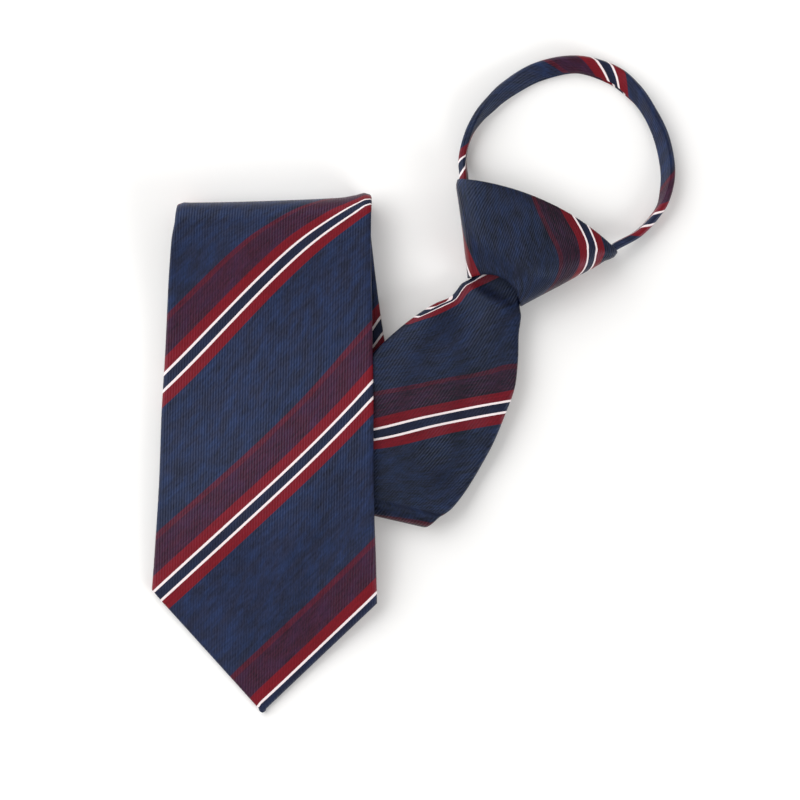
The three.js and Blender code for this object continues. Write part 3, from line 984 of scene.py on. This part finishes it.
def knot_point(size, inset, share, angle, lip=0.0):
    """How far up the knot's axis a point of its skin is, some way in from its outside, and its place."""
    c, s = math.cos(angle), math.sin(angle)
    up = right = 0.0
    for _ in range(SETTLE_STEPS):
        right = (knot_half(size, up, c) - inset) * math.copysign(abs(c) ** KNOT_CORNERS, c)
        level = lerp(mouth_rim(size, right), top_rim(size, right), share) + lip
        up = lerp(up, level, SETTLE_SHARE)
    at = up / size.knot_height
    thick = size.knot_thickness * read(KNOT_TABLE, 3, at)
    off = size.knot_thickness * read(KNOT_TABLE, 4, at)
    waist = KNOT_WAIST * thick
    reach = (thick - waist if s > 0 else waist) - inset
    height = off + waist + math.copysign(reach * abs(s) ** (KNOT_FRONT if s > 0 else KNOT_BACK), s)
    return up, in_knot(up, right, height)


def knot_cloth(up, round_arc, side):
    """Where a point of the knot is on its flat cloth: across the ribs, and across the stripes."""
    place = complex(round_arc, up) * 100
    flat = sum(factor * place ** power for power, factor in enumerate(KNOT_CLOTH))
    bend = KNOT_BEND * max(0.0, math.copysign(abs(side) ** KNOT_CORNERS, side) - KNOT_BEND_START) ** 2
    across = flat.real * cosine(STRIPE_ANGLE) - flat.imag * sine(STRIPE_ANGLE)
    return across / 100, (flat.real + bend) / 100


class TIE_OT_knot(bpy.types.Operator):
    """Model the wrapped knot as a hollow cone of cloth"""

    bl_idname = "tie.knot"
    bl_label = "Add Knot"

    def execute(self, context):
        size = context.scene.tie_sizes
        wall = size.knot_wall
        outside = 40
        inside = 10
        lips = 4
        rows = [(0.0, i / outside, 0.0) for i in range(outside + 1)]
        for i in range(1, lips):
            turned = math.pi * i / lips
            rows.append((wall / 2 * (1 - math.cos(turned)), 1.0, wall / 2 * math.sin(turned)))
        rows += [(wall, 1 - i / inside, 0.0) for i in range(inside + 1)]
        for i in range(1, lips + 1):
            turned = math.pi * i / lips
            rows.append((wall / 2 * (1 + math.cos(turned)), 0.0, -wall / 2 * math.sin(turned)))
        around = 96

        quarter = around // 4
        turns = [math.tau * column / around for column in range(2 * quarter + 1)]
        front = [[knot_point(size, inset, share, turn, lip) for turn in turns] for inset, share, lip in rows]
        arcs = []
        for line in front:
            arc = [0.0]
            for (_, a), (_, b) in zip(line, line[1:]):
                arc.append(arc[-1] + (b - a).length)
            arcs.append([arc[quarter] - run for run in arc])

        def shape(column, row):
            inset, share, lip = rows[row]
            turned = (column - quarter) % around
            angle = math.tau * turned / around
            up, place = knot_point(size, inset, share, angle, lip)
            mirrored = turned if turned <= 2 * quarter else around - turned
            return place, knot_cloth(up, arcs[row][mirrored], math.cos(angle))

        piece = cloth_tube("tie_knot", around, len(rows) - 1, shape, cloth_material(context), caps=False)
        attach(piece, "root")
        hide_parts("knot_wrap")
        return {"FINISHED"}


def arm_point(size, side, above):
    """The middle of an arm of the neck loop on the side given, at a height above the knot's top edge."""
    right = side * size.knot_top_half
    for _ in range(SETTLE_STEPS):
        reach = knot_half(size, top_rim(size, right) + above, side) - ARM_INSET
        right = lerp(right, side * reach, SETTLE_SHARE)
    return in_knot(top_rim(size, right) + above, right, ARM_LEVEL)


def catmull(points, share):
    """A smooth run through the points, with its direction."""
    spans = len(points) - 1
    i = min(int(share * spans), spans - 1)
    t = share * spans - i
    p1, p2 = points[i], points[i + 1]
    p0 = points[i - 1] if i > 0 else p1 * 2 - p2
    p3 = points[i + 2] if i + 2 <= spans else p2 * 2 - p1
    place = 0.5 * (2 * p1 + (p2 - p0) * t + (2 * p0 - 5 * p1 + 4 * p2 - p3) * t * t
                   + (3 * p1 - p0 - 3 * p2 + p3) * t ** 3)
    ahead = 0.5 * ((p2 - p0) + 2 * (2 * p0 - 5 * p1 + 4 * p2 - p3) * t
                   + 3 * (3 * p1 - p0 - 3 * p2 + p3) * t * t)
    return place, ahead.normalized()


class TIE_OT_neck_loop(bpy.types.Operator):
    """Model the folded neck strap round its whole loop"""

    bl_idname = "tie.neck_loop"
    bl_label = "Add Neck Loop"

    def execute(self, context):
        size = context.scene.tie_sizes
        centre = in_knot(size.loop_centre, 0.0, 0.0)
        rows = [(arm_point(size, side, above), *rest) for side, above, *rest in LOOP_START]
        for bearing, reach, roll, width, stripes in LOOP_TABLE:
            place = centre + toward(bearing) * reach * size.loop_radius
            tall = width * size.strap_width * sine(roll)
            place.z = (tall + size.strap_thickness * cosine(roll)) / 2 + STRAP_CLEARANCE
            rows.append((place, roll, width, stripes))
        rows += [(arm_point(size, side, above), *rest) for side, above, *rest in LOOP_END]
        table = [(i / (len(rows) - 1), *row[1:]) for i, row in enumerate(rows)]
        points = [row[0] for row in rows]
        steps = 220
        section = strap_section()

        def shape(column, row):
            share = row / steps
            place, ahead = catmull(points, share)
            inward = UP.cross(ahead).normalized()
            above = ahead.cross(inward)
            turned = math.radians(read(table, 1, share))
            across = inward * -math.cos(turned) + above * math.sin(turned)
            out = above * math.cos(turned) + inward * math.sin(turned)
            width = size.strap_width * read(table, 2, share)
            x, y, cloth = section[column]
            place = place + across * x * width / 2 + out * y * size.strap_thickness / 2
            cloth = cloth * size.strap_width
            return place, (cloth, read(table, 3, share) / 1000 + (STRAP_MIDDLE - cloth) * STRIPE_LEAN)

        piece = cloth_tube("tie_neck_loop", len(section) - 1, steps, shape, cloth_material(context))
        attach(piece, "root")
        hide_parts("neck_loop")
        return {"FINISHED"}


def strap_section():
    """The folded strap's section: shares of half its width and thickness, with the cloth round it.

    Its upper layer stops short of the lower one along the inside of the loop.
    """
    corners = (
        # across, out
        (-0.96, -0.62), (-0.90, -0.86), (-0.80, -1.0), (-0.4, -1.0), (0.0, -1.0), (0.4, -1.0), (0.80, -1.0),
        (0.92, -0.86), (0.985, -0.5), (1.0, 0.0), (0.985, 0.5), (0.92, 0.86), (0.80, 1.0), (0.4, 1.0),
        (0.0, 1.0), (-0.4, 1.0), (-0.56, 0.96), (-0.66, 0.8), (-0.69, 0.5), (-0.64, 0.16), (-0.56, 0.0),
        (-0.66, -0.12), (-0.80, -0.10), (-0.92, -0.16), (-0.98, -0.36), (-0.96, -0.62),
    )
    section = []
    run = 0.0
    for i, (x, y) in enumerate(corners):
        if i:
            run += math.hypot(x - corners[i - 1][0], (y - corners[i - 1][1]) * STRAP_FLATNESS) / 2
        section.append((x, y, run))
    return section


class TIE_OT_zip(bpy.types.Operator):
    """Finish the hidden core and the zip behind the blade"""

    bl_idname = "tie.zip"
    bl_label = "Finish Core and Zip"

    def execute(self, context):
        colours = context.scene.tie_colours
        finishes = {
            "knot_core": plain_material("core_plastic", colours.core, 0.5, scale=400.0),
            "zip_tail": plain_material("zip_tape", colours.tape, 0.85, scale=1500.0, depth=0.0001),
            "zip_chain": plain_material("zip_teeth", colours.teeth, 0.4, scale=600.0),
            "zip_slider": plain_material("slider_metal", colours.metal, 0.35, 1.0, scale=300.0),
        }
        for name, material in finishes.items():
            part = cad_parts[name]
            part.data.materials.clear()
            part.data.materials.append(material)
        return {"FINISHED"}


class TIE_OT_stage(bpy.types.Operator):
    """Set up the floor, the camera and the lights"""

    bl_idname = "tie.stage"
    bl_label = "Add Stage"

    def execute(self, context):
        scene = context.scene
        studio = scene.tie_studio
        scene.view_settings.view_transform = "Standard"

        bpy.ops.object.select_all(action="DESELECT")
        bpy.ops.mesh.primitive_plane_add(size=FLOOR_WIDTH)
        floor = context.object
        floor.name = "floor"
        material, _, shader = new_material("floor_white")
        shader.inputs["Base Color"].default_value = FLOOR_COLOUR
        shader.inputs["Roughness"].default_value = 0.9
        shader.inputs["Specular IOR Level"].default_value = 0.1
        floor.data.materials.append(material)

        camera = bpy.data.objects.new("camera", bpy.data.cameras.new("camera"))
        scene.collection.objects.link(camera)
        camera.data.sensor_width = SENSOR
        camera.data.lens = SENSOR * studio.distance / studio.field
        camera.location = VIEW_CENTRE + UP * (studio.distance + LOOK_LEVEL)
        camera.data.clip_start = 0.05
        scene.camera = camera

        for name, place, power, wide in STUDIO_LIGHTS:
            light = bpy.data.lights.new(name, "AREA")
            light.size = wide
            light.energy = power * studio.key
            lamp = bpy.data.objects.new(name, light)
            lamp.location = Vector(place)
            lamp.rotation_euler = (VIEW_CENTRE - lamp.location).to_track_quat("-Z", "Y").to_euler()
            scene.collection.objects.link(lamp)

        world = bpy.data.worlds.new("room")
        world.use_nodes = True
        background = world.node_tree.nodes["Background"]
        background.inputs[0].default_value = ROOM_COLOUR
        background.inputs[1].default_value = studio.fill
        scene.world = world
        return {"FINISHED"}


class TIE_PT_panel(bpy.types.Panel):
    """Tie tools"""

    bl_idname = "TIE_PT_panel"
    bl_label = "Zipper Tie"
    bl_space_type = "VIEW_3D"
    bl_region_type = "UI"
    bl_category = "Tie"

    def draw(self, context):
        layout = self.layout
        for operator in OPERATORS:
            layout.operator(operator.bl_idname)
        for group in (context.scene.tie_sizes, context.scene.tie_colours, context.scene.tie_studio):
            box = layout.box()
            for name in group.__annotations__:
                box.prop(group, name)


OPERATORS = (TIE_OT_blade, TIE_OT_knot, TIE_OT_neck_loop, TIE_OT_zip, TIE_OT_stage)
CLASSES = (TieSizes, TieColours, StudioSettings, *OPERATORS, TIE_PT_panel)


def register():
    for cls in CLASSES:
        bpy.utils.register_class(cls)
    bpy.types.Scene.tie_sizes = PointerProperty(type=TieSizes)
    bpy.types.Scene.tie_colours = PointerProperty(type=TieColours)
    bpy.types.Scene.tie_studio = PointerProperty(type=StudioSettings)


def unregister():
    del bpy.types.Scene.tie_studio
    del bpy.types.Scene.tie_colours
    del bpy.types.Scene.tie_sizes
    for cls in reversed(CLASSES):
        bpy.utils.unregister_class(cls)


def main():
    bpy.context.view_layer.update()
    register()
    bpy.ops.tie.blade()
    bpy.ops.tie.knot()
    bpy.ops.tie.neck_loop()
    bpy.ops.tie.zip()
    bpy.ops.tie.stage()


if __name__ == "__main__":
    main()
